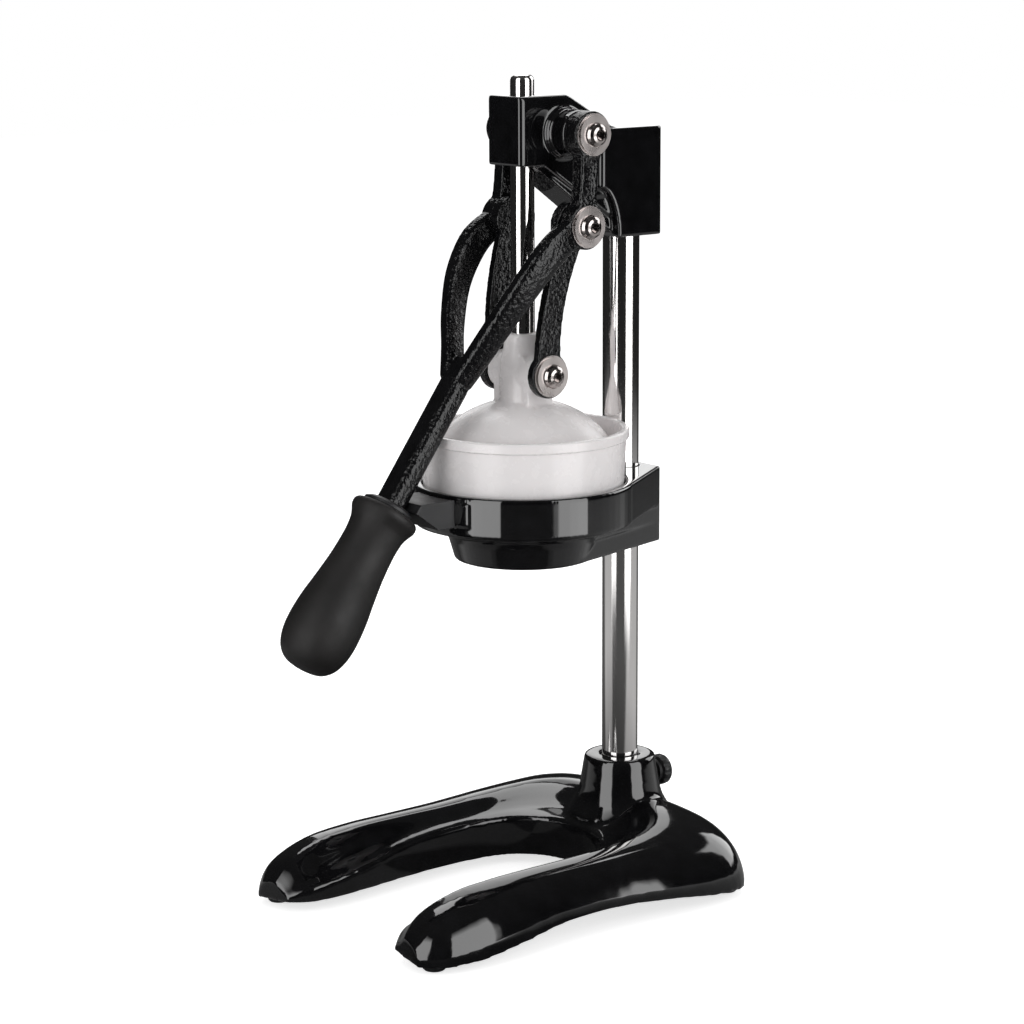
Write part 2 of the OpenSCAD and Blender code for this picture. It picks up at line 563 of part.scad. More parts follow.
module link_body() {
    p = p2 - p3;
    top_in = 24.4 - link_in;
    steps = [for (u = [0.02:0.06:0.99]) u];
    difference() {
        union() {
            intersection() {
                translate([10, 0, 0]) rotate([90, 0, 90]) linear_extrude(height = 30)
                    polygon(concat([for (u = steps) let (m = link_mid(u), e = link_mid(u + 0.01) - m, n = [-e[1], e[0]] / norm(e)) m + n * link_half(u)],
                        [for (k = [len(steps) - 1:-1:0]) let (u = steps[k], m = link_mid(u), e = link_mid(u + 0.01) - m, n = [-e[1], e[0]] / norm(e)) m - n * link_half(u)]));
                // the bar leans outward to the thicker upper eye
                translate([0, 60, 0]) rotate([90, 0, 0]) linear_extrude(height = 120)
                    polygon([[link_in, -20], [link_in, 8], [link_in + top_in, p[1] - 16], [link_in + top_in, p[1] + 20],
                        [link_out + top_in, p[1] + 20], [link_out + top_in, p[1] - 16], [link_out, 8], [link_out, -20]]);
            }
            along_x(link_in, link_out, eye_r);
            translate([0, p[0], p[1]]) along_x(24, boss_end, eye_r + 1);
        }
        along_x(link_in - 1, link_out + 1, bush_r);
        translate([0, 0, 0]) along_x(link_out, link_out + 10, flange_r + 0.4);
        translate([0, p[0], p[1]]) along_x(20, boss_end + 1, screw_r);
    }
}
module link_right() { color(black) at_pivot(p3) link_body(); }
module link_left() { color(black) at_pivot(p3) mirror([1, 0, 0]) link_body(); }
module link_bush_right() { color(metal) at_pivot(p3) flanged_bush(link_in, link_out); }
module link_bush_left() { color(metal) at_pivot(p3) mirror([1, 0, 0]) flanged_bush(link_in, link_out); }

base_casting();
foot_pads();
column_plug();
base_bolt();
base_washer();
base_knob();
column_tube();
cup_bracket();
bracket_set_screws();
lever_rest();
juice_cup();
reamer();
press_bell();
cross_sleeve();
press_rod();
head_casting();
head_set_screws();
pivot1_screws();
pivot1_washers();
pivot1_bushes();
lever_yoke();
pivot2_screws();
pivot2_washers();
pivot2_bushes();
grip_collar();
handle_grip();
link_left();
link_right();
link_bush_left();
link_bush_right();
pivot3_screws();
pivot3_washers();
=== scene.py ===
# %% [markdown]
# # A lever citrus juice press, dressed in Blender
# The press stands on a horseshoe of black enamelled casting. A chromed column carries a cup
# bracket and a head, and a forked handle drives a white bell down into the cup.
# The joints, the screws and the overall size come from the CAD model. This lesson gives its
# parts their finishes, and remakes the castings and mouldings, whose surfaces flow more softly
# than the CAD solids do.

# %% Load the CAD model
import bpy, math
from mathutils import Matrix, Quaternion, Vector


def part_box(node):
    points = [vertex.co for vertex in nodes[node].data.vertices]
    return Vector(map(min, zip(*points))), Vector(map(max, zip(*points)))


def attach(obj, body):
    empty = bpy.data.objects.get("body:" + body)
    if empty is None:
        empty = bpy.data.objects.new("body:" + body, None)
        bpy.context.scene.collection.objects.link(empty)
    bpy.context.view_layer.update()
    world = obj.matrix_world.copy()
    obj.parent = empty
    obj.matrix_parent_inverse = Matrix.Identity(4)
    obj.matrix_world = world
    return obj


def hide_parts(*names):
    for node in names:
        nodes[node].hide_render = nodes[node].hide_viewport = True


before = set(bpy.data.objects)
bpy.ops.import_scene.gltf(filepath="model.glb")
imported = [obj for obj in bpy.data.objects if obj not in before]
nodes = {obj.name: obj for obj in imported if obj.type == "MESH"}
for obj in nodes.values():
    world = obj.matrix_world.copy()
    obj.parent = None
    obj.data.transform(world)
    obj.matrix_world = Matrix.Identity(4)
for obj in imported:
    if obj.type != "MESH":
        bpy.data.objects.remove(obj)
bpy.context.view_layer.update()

# %% [markdown]
# ## The camera
# The photograph looks down a little on the right front of the press. The camera stands on that
# line of sight, with a long lens, so that the legs hardly spread towards the viewer. Its place
# and turn were fitted to the column, the head, the washers and the round edges of the cup.

# %% Camera
PICTURE = 1024                              # pixels across the photograph
FOCAL = 2932.26                             # focal length, in those pixels
SENSOR = 36                                 # millimetres
CAMERA_AT = (1.32441, -1.04047, 0.57198)    # metres
SIGHT = (-0.76607, 0.61230, -0.19549)       # the direction of view
ROLL = math.radians(-0.263)

camera_data = bpy.data.cameras.new("camera")
camera_data.sensor_width = SENSOR
camera_data.lens = FOCAL / PICTURE * SENSOR
camera_data.clip_end = 20
camera = bpy.data.objects.new("camera", camera_data)
bpy.context.collection.objects.link(camera)
upright = Vector(SIGHT).to_track_quat("-Z", "Y")
camera.rotation_mode = "QUATERNION"
camera.rotation_quaternion = upright @ Quaternion((0, 0, 1), ROLL)
camera.location = CAMERA_AT
bpy.context.scene.camera = camera
print("lens", round(camera_data.lens, 2))

# %% [markdown]
# ## Writing shaders as expressions
# A finish is a small graph of nodes. Wrapping a socket in a class with arithmetic operators
# lets the graph be written like a formula, which is easier to read and to change. The world
# and the floor are such graphs too.

# %% Shader maths
class Value:
    def __init__(self, graph, socket):
        self.graph, self.socket = graph, socket

    def math(self, operation, a, b=0.0):
        return self.graph.node("ShaderNodeMath", {"operation": operation}, {0: a, 1: b})

    def __add__(self, other):
        return self.math("ADD", self, other)

    def __mul__(self, other):
        return self.math("MULTIPLY", self, other)

    __radd__ = __add__
    __rmul__ = __mul__


class Graph:
    def __init__(self, tree):
        self.tree = tree

    def node(self, kind, settings=None, inputs=None, out=0):
        made = self.tree.nodes.new(kind)
        for key, value in (settings or {}).items():
            if key == "stops":
                self.place_stops(made.color_ramp, value)
            else:
                setattr(made, key, value)
        for key, value in (inputs or {}).items():
            self.feed(made.inputs[key], value)
        return Value(self, made.outputs[out]) if made.outputs else made

    def place_stops(self, ramp, stops):
        while len(ramp.elements) < len(stops):
            ramp.elements.new(0.5)
        for element, (place, tone) in zip(ramp.elements, stops):
            element.position = place
            element.color = (*tone, 1) if isinstance(tone, tuple) else (tone, tone, tone, 1)

    def feed(self, socket, value):
        if isinstance(value, Value):
            self.tree.links.new(value.socket, socket)
        elif isinstance(value, tuple) and len(value) == 3 and socket.type == "RGBA":
            socket.default_value = (*value, 1)
        else:
            socket.default_value = value

    def axes(self, vector):
        split = self.node("ShaderNodeSeparateXYZ", inputs={0: vector})
        return [Value(self, socket) for socket in split.socket.node.outputs]

    def ramp(self, value, *stops):
        return self.node("ShaderNodeValToRGB", {"stops": stops}, {0: value})

    def choose(self, ray, otherwise, shown):
        mask = self.node("ShaderNodeLightPath", out=ray)
        return self.node("ShaderNodeMixShader", inputs={0: mask, 1: otherwise, 2: shown})


class Finish(Graph):
    def __init__(self, name):
        self.material = bpy.data.materials.new(name)
        self.material.use_nodes = True
        super().__init__(self.material.node_tree)
        self.surface = self.tree.nodes["Principled BSDF"]
        self.coords = self.node("ShaderNodeTexCoord", out="Object")

    def set(self, **inputs):
        for key, value in inputs.items():
            self.feed(self.surface.inputs[key.replace("_", " ").title().replace("Ior", "IOR")], value)

    def noise(self, scale, detail=3.0, roughness=0.5, stretch=None):
        where = self.coords
        if stretch:
            where = self.node("ShaderNodeMapping", inputs={"Vector": where, "Scale": stretch})
        inputs = {"Vector": where, "Scale": scale, "Detail": detail, "Roughness": roughness}
        return self.node("ShaderNodeTexNoise", inputs=inputs)

    def bump(self, height, depth, strength=1.0, under=None):
        inputs = {"Height": height, "Distance": depth, "Strength": strength}
        if under:
            inputs["Normal"] = under
        return self.node("ShaderNodeBump", inputs=inputs)

# %% [markdown]
# ## The studio
# Gloss black shows what surrounds it more than its own colour, and the two bright stripes on
# the column show what that was: a dark room with one tall white card on each side of the
# camera. A window stands high up behind the press. Cards and window are at fixed angles round
# the press and show in gloss only. All else gets an even light from the world and from four
# softboxes, so that white plastic looks as pale as it is.

# %% Cards and world
CARDS = ((-96, -64), (-4, 30))      # start and end of each card round the press, in degrees from +X
CARD_TONE = 3.6
WINDOW = ((70, 108),)               # start and end of the window, in the same degrees
WINDOW_TONE = 2.6
FADE = 1.5                          # degrees over which a card or the window ends
ROOM_TONE = 0.015
SOFT_LIGHT = 0.46
WHITE = (1, 1, 1)

def round_mask(graph, x, y, spans, edge):
    share = x.math("ARCTAN2", y, x) * (0.5 / math.pi) + 0.5
    stops = []
    for start, end in spans:
        for angle, tone in ((start - edge, 0.0), (start, 1.0), (end, 1.0), (end + edge, 0.0)):
            stops.append((angle / 360 + 0.5, tone))
    return graph.ramp(share, *stops)

world = bpy.data.worlds.new("studio")
bpy.context.scene.world = world
world.use_nodes = True
world.node_tree.nodes.clear()
studio = Graph(world.node_tree)
x, y, z = studio.axes(studio.node("ShaderNodeTexCoord", out="Generated"))
level = z * 0.5 + 0.5
card_height = studio.ramp(level, (0.30, 0.0), (0.34, 1.0), (0.80, 1.0), (0.88, 0.0))
window_height = studio.ramp(level, (0.55, 0.0), (0.57, 1.0), (0.80, 1.0), (0.82, 0.0))
room = studio.ramp(level, (0.0, ROOM_TONE), (0.55, ROOM_TONE), (1.0, 0.06))
cards = round_mask(studio, x, y, CARDS, FADE) * card_height
window = round_mask(studio, x, y, WINDOW, FADE) * window_height
shine = cards * CARD_TONE + window * WINDOW_TONE + room
seen_in_gloss = studio.node("ShaderNodeBackground", inputs={"Color": WHITE, "Strength": shine})
soft_light = studio.node("ShaderNodeBackground", inputs={"Color": WHITE, "Strength": SOFT_LIGHT})
white_paper = studio.node("ShaderNodeBackground", inputs={"Color": WHITE, "Strength": 1.0})
sky = studio.choose("Is Camera Ray", studio.choose("Is Glossy Ray", soft_light, seen_in_gloss), white_paper)
studio.node("ShaderNodeOutputWorld", inputs={0: sky})
bpy.context.scene.view_settings.view_transform = "Standard"
print("world nodes:", len(world.node_tree.nodes))

# %% Softboxes
AIM = Vector((0, 0, 0.25))          # the middle of the press

def softbox(name, place, size, power, in_gloss):
    data = bpy.data.lights.new(name, "AREA")
    data.shape = "RECTANGLE"
    data.size, data.size_y = size
    data.energy = power
    lamp = bpy.data.objects.new(name, data)
    bpy.context.collection.objects.link(lamp)
    lamp.location = place
    lamp.rotation_euler = (AIM - Vector(place)).to_track_quat("-Z", "Y").to_euler()
    lamp.visible_camera = False
    lamp.visible_glossy = in_gloss
    print(name, power, "W")

softbox("softbox_left", (0.31, -1.74, 0.75), (1.0, 1.7), 11, False)
softbox("softbox_right", (1.69, 0.40, 0.75), (1.0, 1.7), 11, False)
softbox("softbox_above", (-0.75, 0.55, 1.75), (1.3, 0.8), 10, True)
softbox("softbox_back", (-1.3, 0.9, 0.95), (0.8, 1.2), 4, True)

# %% [markdown]
# ## The floor
# A plane just under the feet carries the soft shadow of the press, and the camera sees it lifted to white. In
# the gloss it shows a painted pool of light round the press, strongest on two sides, which falls off into the
# dark room, and the two cards are painted on over it further out.

# %% Floor
FLOOR_SIZE = 12                     # metres
FLOOR_Z = -0.0004
FLOOR_REACH = 2.5                   # metres at which the ramps over the distance end
FLOOR_TONE = (0.86, 0.86, 0.86)
FLOOR_LIFT = 0.7
PAINTED_LIGHT_SPANS = ((-158, -96), (18, 84)) # where the painted light on the paper is strongest, in degrees from +X
PAINTED_LIGHT_FADE = 12

bpy.ops.object.select_all(action="DESELECT")
bpy.ops.mesh.primitive_plane_add(size=FLOOR_SIZE, location=(0, 0, FLOOR_Z))
floor = bpy.context.object
floor.name = "floor"
floor_finish = bpy.data.materials.new("white_floor")
floor_finish.use_nodes = True
floor_finish.node_tree.nodes.clear()
paper = Graph(floor_finish.node_tree)
x, y = paper.axes(paper.node("ShaderNodeTexCoord", out="Object"))[:2]
distance = x.math("SQRT", x * x + y * y) * (1 / FLOOR_REACH)
far = paper.ramp(distance, (0.24, 0.0), (0.42, 1.0))
# Painted light on the paper, seen only in gloss: a pool that is brighter near the press and on two sides and
# fades out into the dark room.
painted_light_pool = paper.ramp(distance, (0.04, 0.12), (0.2, 0.5), (0.5, 0.42), (0.8, 0.0))
painted_light_sides = round_mask(paper, x, y, PAINTED_LIGHT_SPANS, PAINTED_LIGHT_FADE) * 0.85 + 0.15
cards = round_mask(paper, x, y, CARDS, FADE) * far
shine = cards * CARD_TONE + painted_light_pool * painted_light_sides + ROOM_TONE
lit = paper.node("ShaderNodeBsdfDiffuse", inputs={"Color": FLOOR_TONE})
# In gloss the floor is an emission that carries the painted pool of light and the painted cards.
painted_gloss_view = paper.node("ShaderNodeEmission", inputs={"Color": WHITE, "Strength": shine})
lift = paper.node("ShaderNodeEmission", inputs={"Color": WHITE, "Strength": FLOOR_LIFT})
camera_view = paper.node("ShaderNodeAddShader", inputs={0: lit, 1: lift})
floor_look = paper.choose("Is Camera Ray", paper.choose("Is Glossy Ray", lit, painted_gloss_view), camera_view)
paper.node("ShaderNodeOutputMaterial", inputs={0: floor_look})
floor.data.materials.append(floor_finish)
print("floor nodes:", len(floor_finish.node_tree.nodes))

# %% [markdown]
# ## Gloss black enamel
# The castings are stove-enamelled: a black, glassy skin that flows over the metal, so it is
# slightly wavy like orange peel and collects a little dust. A clear coat over a black base
# gives that depth. The links and the lever were cast in coarser sand, and it shows through.

# %% Enamel
SAND_DEPTH = 0.0009                 # metres, the relief of the coarse sand

def enamel(name, sand, rough, coat, gloss):
    f = Finish(name)
    dust = f.noise(90, 4, 0.6)
    f.set(base_color=f.ramp(dust, (0.3, (0.0022, 0.0022, 0.0025)), (0.8, (0.006, 0.006, 0.0068))),
          roughness=f.ramp(f.noise(35, 3), (0.35, rough), (0.75, rough * 1.5)),
          coat_weight=coat, coat_roughness=0.02, specular_ior_level=gloss)
    relief = f.bump(f.noise(110, 1.0), 0.0001, 0.3)
    if sand:
        relief = f.bump(f.noise(400, 2, 0.5), sand, 0.9, relief)
    f.set(normal=relief)
    return f.material

gloss_enamel = enamel("gloss_enamel", 0, 0.08, 1.0, 0.22)
cast_enamel = enamel("cast_enamel", SAND_DEPTH, 0.11, 0.0, 0.34)
print("enamels:", gloss_enamel.name, cast_enamel.name)

# %% [markdown]
# ## Chrome, stainless steel, plastic and rubber
# The column and the rod are plated, with a faint lengthwise polish. The washers and small parts
# are satin stainless steel, and the pivot screws are darker and more polished. The cup and the
# bell are moulded in satin white plastic, which lets a little light in. The grip is soft matt
# rubber, greyer where hands and dust rub.

# %% Metals
LENGTHWISE = (20.0, 20.0, 0.6)      # stretches the noise along Z
EVEN = (1.0, 1.0, 1.0)
POLISH = 0.000006                   # metres, the relief of the polish on the plating
SATIN = 0.0000006

def plated(name, tone, rough, stretch, scratch):
    f = Finish(name)
    hair = f.noise(60, 4, 0.6, stretch)
    f.set(base_color=f.ramp(hair, (0.3, tuple(0.96 * t for t in tone)), (0.7, tone)), metallic=1.0,
          roughness=f.ramp(hair, (0.3, rough), (0.75, rough * 1.5)))
    f.set(normal=f.bump(f.noise(400, 2, 0.5, stretch), scratch, 0.4))
    return f.material

chrome = plated("chrome", (0.84, 0.82, 0.81), 0.085, LENGTHWISE, POLISH)
stainless = plated("stainless", (0.58, 0.535, 0.52), 0.25, EVEN, SATIN)
screw_steel = plated("screw_steel", (0.46, 0.42, 0.405), 0.13, EVEN, SATIN)
print("metals:", chrome.name, stainless.name, screw_steel.name)

# %% Plastics and rubber
GRAIN_DEPTH = 0.00003               # metres, the relief of a mould's surface

def moulded(name, tone, rough, grain):
    f = Finish(name)
    cloud = f.noise(25, 3)
    f.set(base_color=f.ramp(cloud, (0.3, tuple(0.965 * t for t in tone)), (0.75, tone)),
          roughness=f.ramp(f.noise(140, 3), (0.3, rough), (0.75, rough + 0.1)),
          normal=f.bump(f.noise(2200, 2), GRAIN_DEPTH * grain, 0.5))
    return f

white = moulded("white_plastic", (0.84, 0.81, 0.81), 0.22, 0.5)
white.set(subsurface_weight=0.12, subsurface_scale=0.004, subsurface_radius=(1.0, 0.9, 0.85))
white_plastic = white.material
black_plastic = moulded("black_plastic", (0.012, 0.012, 0.013), 0.42, 3.0).material

rubber = Finish("grip_rubber")
wear = rubber.noise(28, 5, 0.6)
rubber.set(base_color=rubber.ramp(wear, (0.32, (0.004, 0.0036, 0.0036)), (0.72, (0.0095, 0.0082, 0.008))),
           roughness=rubber.ramp(rubber.noise(60, 4), (0.3, 0.5), (0.7, 0.66)), specular_ior_level=0.45,
           normal=rubber.bump(rubber.noise(1500, 3, 0.6), 0.00008, 0.5))
grip_rubber = rubber.material

# %% Dress the CAD nodes
BARE_STEEL = ["column_plug", "base_bolt", "base_washer", "bracket_set_screws", "head_set_screws",
              "cross_sleeve", "pivot1_washers", "pivot2_washers", "pivot3_washers",
              "pivot1_bushes", "pivot2_bushes", "link_bush_left", "link_bush_right"]

def finish_node(names, material):
    for name in names:
        for slot in nodes[name].material_slots:
            slot.material = material

finish_node(["base_casting", "cup_bracket", "head_casting"], gloss_enamel)
finish_node(["lever_yoke", "link_left", "link_right"], cast_enamel)
finish_node(["column_tube", "press_rod"], chrome)
finish_node(["pivot1_screws", "pivot2_screws", "pivot3_screws"], screw_steel)
finish_node(BARE_STEEL, stainless)
finish_node(["juice_cup", "press_bell", "reamer"], white_plastic)
finish_node(["foot_pads", "lever_rest", "base_knob", "grip_collar"], black_plastic)
finish_node(["handle_grip"], grip_rubber)
print("materials:", sorted(m.name for m in bpy.data.materials if m.users))

# %% [markdown]
# ## Castings and turned pieces
# A sand casting has no sharp edge or flat facet: its corners are drawn round so that the mould
# lets go. Where the CAD solid has the right form, a copy of it is merged into one skin and
# smoothed, and it then stands for the solid. A turned or moulded round piece keeps its exact
# shape and needs only a smooth skin.

# %% Helpers
CREASE = math.radians(35)           # an edge sharper than this stays an edge

def copy_of(name, new_name):
    bpy.ops.object.select_all(action="DESELECT")
    piece = nodes[name].copy()
    piece.data = nodes[name].data.copy()
    piece.name = piece.data.name = new_name
    piece.parent = None
    bpy.context.collection.objects.link(piece)
    bpy.context.view_layer.objects.active = piece
    piece.select_set(True)
    if piece.data.has_custom_normals:
        bpy.ops.mesh.customdata_custom_splitnormals_clear()
    bpy.ops.object.mode_set(mode="EDIT")
    bpy.ops.mesh.select_all(action="SELECT")
    bpy.ops.mesh.remove_doubles(threshold=0.00001)
    bpy.ops.object.mode_set(mode="OBJECT")
    return piece

def apply(piece, kind, **settings):
    modifier = piece.modifiers.new(kind.lower(), kind)
    for key, value in settings.items():
        setattr(modifier, key, value)
    bpy.ops.object.modifier_apply(modifier=modifier.name)

def stands_for(piece, name, body):
    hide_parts(name)
    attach(piece, body)
    print(piece.name, len(piece.data.polygons), "faces")

def cast(name, new_name, body, voxel, rounds):
    piece = copy_of(name, new_name)
    apply(piece, "REMESH", mode="VOXEL", voxel_size=voxel, use_smooth_shade=True)
    apply(piece, "SMOOTH", factor=0.5, iterations=rounds)
    bpy.ops.object.shade_smooth()
    stands_for(piece, name, body)

def turned(name, new_name, body):
    piece = copy_of(name, new_name)
    bpy.ops.object.shade_smooth_by_angle(angle=CREASE)
    stands_for(piece, name, body)

# %% [markdown]
# ## Forms between sections
# The base, the lever and the bracket are castings with a flowing shape, and the bell and the
# grip are moulded. A box or a cylinder, pulled about by hand, is quick for a block with round
# edges, but the sections of these pieces change all the way along. So each is drawn as a few
# sections, with a skin stretched between them. Booleans join the forms, and a voxel remesh with
# some smoothing rounds the joints, as the fillets of a real mould do.
# All these sizes are millimetres from the column's foot, with +Y to the rear.

# %% Solids from sections
COLUMN_Y = 500 * sum(corner[1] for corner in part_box("column_tube"))
ROD_Y = 500 * sum(corner[1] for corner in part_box("press_rod")) - COLUMN_Y

def loft(rings):
    count = len(rings[0])
    points = [(p[0] / 1000, (p[1] + COLUMN_Y) / 1000, p[2] / 1000) for ring in rings for p in ring]
    faces = [tuple(range(count)), tuple(range(len(points) - count, len(points)))]
    for start in range(0, len(points) - count, count):
        for k in range(count):
            after = (k + 1) % count
            faces.append((start + k, start + after, start + count + after, start + count + k))
    mesh = bpy.data.meshes.new("solid")
    mesh.from_pydata(points, [], faces)
    solid = bpy.data.objects.new("solid", mesh)
    bpy.context.collection.objects.link(solid)
    bpy.ops.object.select_all(action="DESELECT")
    bpy.context.view_layer.objects.active = solid
    solid.select_set(True)
    bpy.ops.object.mode_set(mode="EDIT")
    bpy.ops.mesh.select_all(action="SELECT")
    bpy.ops.mesh.normals_make_consistent(inside=False)
    bpy.ops.object.mode_set(mode="OBJECT")
    return solid

def between(rows, u):
    i = min(int(u), len(rows) - 2)
    t = u - i
    four = [rows[max(0, min(len(rows) - 1, i + k))] for k in (-1, 0, 1, 2)]
    point = []
    for p, q, r, s in zip(*four):
        bend = 2 * p - 5 * q + 4 * r - s
        twist = 3 * q - p - 3 * r + s
        point.append(0.5 * (2 * q + (r - p) * t + bend * t ** 2 + twist * t ** 3))
    return point

def steps(start, stop, size):
    return [start + size * k for k in range(int((stop - start) / size + 0.001) + 1)]

print("column at y", round(COLUMN_Y, 2), "mm, rod", round(ROD_Y, 2), "mm from it")

# %% Bars, turned forms and slabs
SIDES = 72                          # of everything round
TIP = 0.01                          # radius that stands for a point on the axis

def circle(x, y, z, radius, axis, count=SIDES):
    ring = []
    for k in range(count):
        a = radius * math.cos(k * math.tau / count)
        b = radius * math.sin(k * math.tau / count)
        step = {"X": (0, a, b), "Y": (a, 0, b), "Z": (a, b, 0)}[axis]
        ring.append((x + step[0], y + step[1], z + step[2]))
    return ring

def bar_x(x0, x1, y, z, radius):
    return loft([circle(x, y, z, radius, "X") for x in (x0, x1)])

def bar_y(y0, y1, z, radius):
    return loft([circle(0, y, z, radius, "Y") for y in (y0, y1)])

def bar_z(x, y, z0, z1, radius, count=SIDES):
    return loft([circle(x, y, z, radius, "Z", count) for z in (z0, z1)])

def turn(profile, y=0.0):
    return loft([circle(0, y, z, max(radius, TIP), "Z") for radius, z in profile])

def slab(outline, x0, x1):
    return loft([[(x, y, z) for y, z in outline] for x in (x0, x1)])

# %% Joining and finishing
def combine(solid, others, operation="UNION"):
    for other in others:
        bpy.context.view_layer.objects.active = solid
        apply(solid, "BOOLEAN", operation=operation, solver="EXACT", object=other)
        bpy.data.objects.remove(other)

def skin(solid, name, new_name, body, material, voxel, rounds, bores=()):
    solid.name = solid.data.name = new_name
    solid.data.materials.clear()
    solid.data.materials.append(material)
    bpy.context.view_layer.objects.active = solid
    apply(solid, "REMESH", mode="VOXEL", voxel_size=voxel, use_smooth_shade=True)
    combine(solid, bores, "DIFFERENCE")
    apply(solid, "SMOOTH", factor=0.5, iterations=rounds)
    bpy.ops.object.select_all(action="DESELECT")
    solid.select_set(True)
    bpy.ops.object.shade_smooth()
    stands_for(solid, name, body)

# %% [markdown]
# ## The horseshoe base
# Each leg rises from a thin inner edge to a crest and rolls down over its outer side. A row holds
# one section: x and y of its inner and of its outer edge, the height of the inner wall and of
# the crest, the crest's place between the edges, and how far the outer side comes down. The
# casting is hollow below, with a wall of even thickness, as such bases are.

# %% Sections of the base
HALF_BASE = [
    [0, -34, 0, 34, 33, 47.5, 0.42, 12], [14, -35, 36, 34.5, 33, 47.5, 0.42, 11],
    [27, -39.5, 70, 33, 32.5, 46.5, 0.4, 7], [37, -47.5, 91, 21, 32, 44.5, 0.38, 4],
    [43.5, -58, 98, -3, 31.5, 42.5, 0.36, 6], [47, -74, 98, -38, 31, 41, 0.36, 11],
    [48, -100, 94, -80, 30.5, 40, 0.38, 14], [47, -128, 93, -118, 28, 40, 0.4, 13],
    [44.5, -154, 96, -152, 23.5, 39.5, 0.4, 9], [43, -178, 96, -182, 19.5, 37, 0.4, 5],
    [44.5, -200, 90, -206, 16, 29, 0.42, 4], [53, -213, 79, -217, 10, 17, 0.48, 4]]
BASE = [[-row[0], row[1], -row[2], *row[3:]] for row in HALF_BASE[:0:-1]] + HALF_BASE
INNER_FOOT = 6                      # height of the inner edge's underside
INNER_BEVEL = 1.5                   # between the inner wall and the top
CREST_SWING = math.radians(150)     # the part of a cosine wave that the inner side follows
OUTER_ROUND = 2.6                   # above 2, the outer side is fuller than an ellipse
WALL = 5
ROOF = [(0.02, 0.5)] + 4 * [(0, 0.5)] + [(-0.03, 5)]    # step aside and extra depth at each roof point
BELOW = -1                          # cuts from below start here

def leg_height(row, f):
    wall, crest, place, drop = row[4:]
    if f < place:
        return wall + (crest - wall) * (1 - math.cos(CREST_SWING * f / place)) / (1 - math.cos(CREST_SWING))
    return drop + (crest - drop) * math.sqrt(max(0, 1 - ((f - place) / (1 - place)) ** OUTER_ROUND))

def leg_point(row, f, z):
    x0, y0, x1, y1 = row[:4]
    return (x0 + (x1 - x0) * f, y0 + (y1 - y0) * f, z)

def leg_section(row):
    wall, place = row[4], row[6]
    up = [place * k / 6 for k in range(1, 6)]
    over = [place + (1 - place) * math.sin(math.radians(90 * k / 14)) for k in range(15)]
    inner = [leg_point(row, 0, INNER_FOOT), leg_point(row, 0, wall - INNER_BEVEL)]
    return inner + [leg_point(row, f, leg_height(row, f)) for f in up + over]

def hollow_section(row):
    inset = WALL / math.dist(row[0:2], row[2:4])
    roof = []
    for k, (aside, deeper) in enumerate(ROOF):
        f = inset + (1 - 2 * inset) * k / (len(ROOF) - 1)
        roof.append(leg_point(row, f, max(1, leg_height(row, f + aside) - WALL - deeper)))
    return [leg_point(row, inset, BELOW), *roof, leg_point(row, 1 - inset, BELOW)]

# %% Base
BOSS = [(0, 5), (25, 5), (32, 36), (29, 41), (26.8, 45), (25.2, 50), (22.2, 68), (21.8, 70.6),
        (21.2, 71.6), (20.2, 72), (0, 72)]
PADS = ((77, -203), (-77, -203), (80, 16), (-80, 16))
PAD_BOSS, PAD_SOCKET = 8.5, 7                           # radii
COLUMN_HOLE, BOLT_HOLE, WASHER_HOLE = 11.05, 5.2, 12    # radii
KNOB_Z, KNOB_HOLE, KNOB_SPOT = 55, 4, 10.5              # height and radii of the thumbscrew's bore

last = len(BASE) - 1
base = loft([leg_section(between(BASE, u)) for u in steps(0, last, 0.25)])
hollow = loft([hollow_section(between(BASE, u)) for u in steps(1.75, last - 1.7, 0.5)])
combine(base, [hollow], "DIFFERENCE")
combine(base, [turn(BOSS)])
combine(base, [bar_z(x, y, 5.2, 18.2, PAD_BOSS) for x, y in PADS])
bores = [bar_z(0, 0, 18, 90, COLUMN_HOLE), bar_z(0, 0, BELOW, 40, BOLT_HOLE),
         bar_z(0, 0, BELOW, 11, WASHER_HOLE), bar_y(0, 60, KNOB_Z, KNOB_HOLE),
         bar_y(27, 47, KNOB_Z, KNOB_SPOT)]
combine(base, bores + [bar_z(x, y, BELOW, 6, PAD_SOCKET) for x, y in PADS], "DIFFERENCE")
skin(base, "base_casting", "base_skin", "frame", gloss_enamel, 0.0014, 5)

# %% [markdown]
# ## The forked lever
# Two bowed arms run from the lower eyes into one flat bar. The crank arms above them carry the
# lever on the head. Arms and bar are rounded sections along the handle, which leans back from
# the vertical. A row gives a section's place along the handle, across and forward, and its
# depth and width.

# %% Sections of the lever
LEAN = math.radians(36.2)
PIVOT1 = (-56.5, 456.0)             # y and z of the upper pivot
PIVOT2 = (-60.53, 403.65)           # y and z of the lower pivot
PIVOTS = (PIVOT1, PIVOT2)
ARM = [[-3, 36, 1, 14, 10], [10, 36.6, 6.4, 18.5, 10.4], [26, 36, 10.8, 19, 10.6],
       [50, 31, 11.4, 17.5, 10.6], [75, 21, 7.8, 16, 10.8], [93, 12, 3.6, 15, 11],
       [110, 4.6, 0.4, 13.6, 9.6]]
STEM = [[95, 0, 1.5, 10, 9], [99, 0, 1, 12, 14], [106, 0, 0.3, 13.2, 17], [114, 0, 0, 13.6, 18],
        [124, 0, 0, 13.6, 18], [194, 0, 0, 13.6, 18]]
SQUARENESS = 0.6                    # 1 is an ellipse, and less is squarer

def lever_point(x, forward, along):
    y = PIVOT2[0] - forward * math.cos(LEAN) - along * math.sin(LEAN)
    return (x, y, PIVOT2[1] + forward * math.sin(LEAN) - along * math.cos(LEAN))

def squared(value):
    return math.copysign(abs(value) ** SQUARENESS, value)

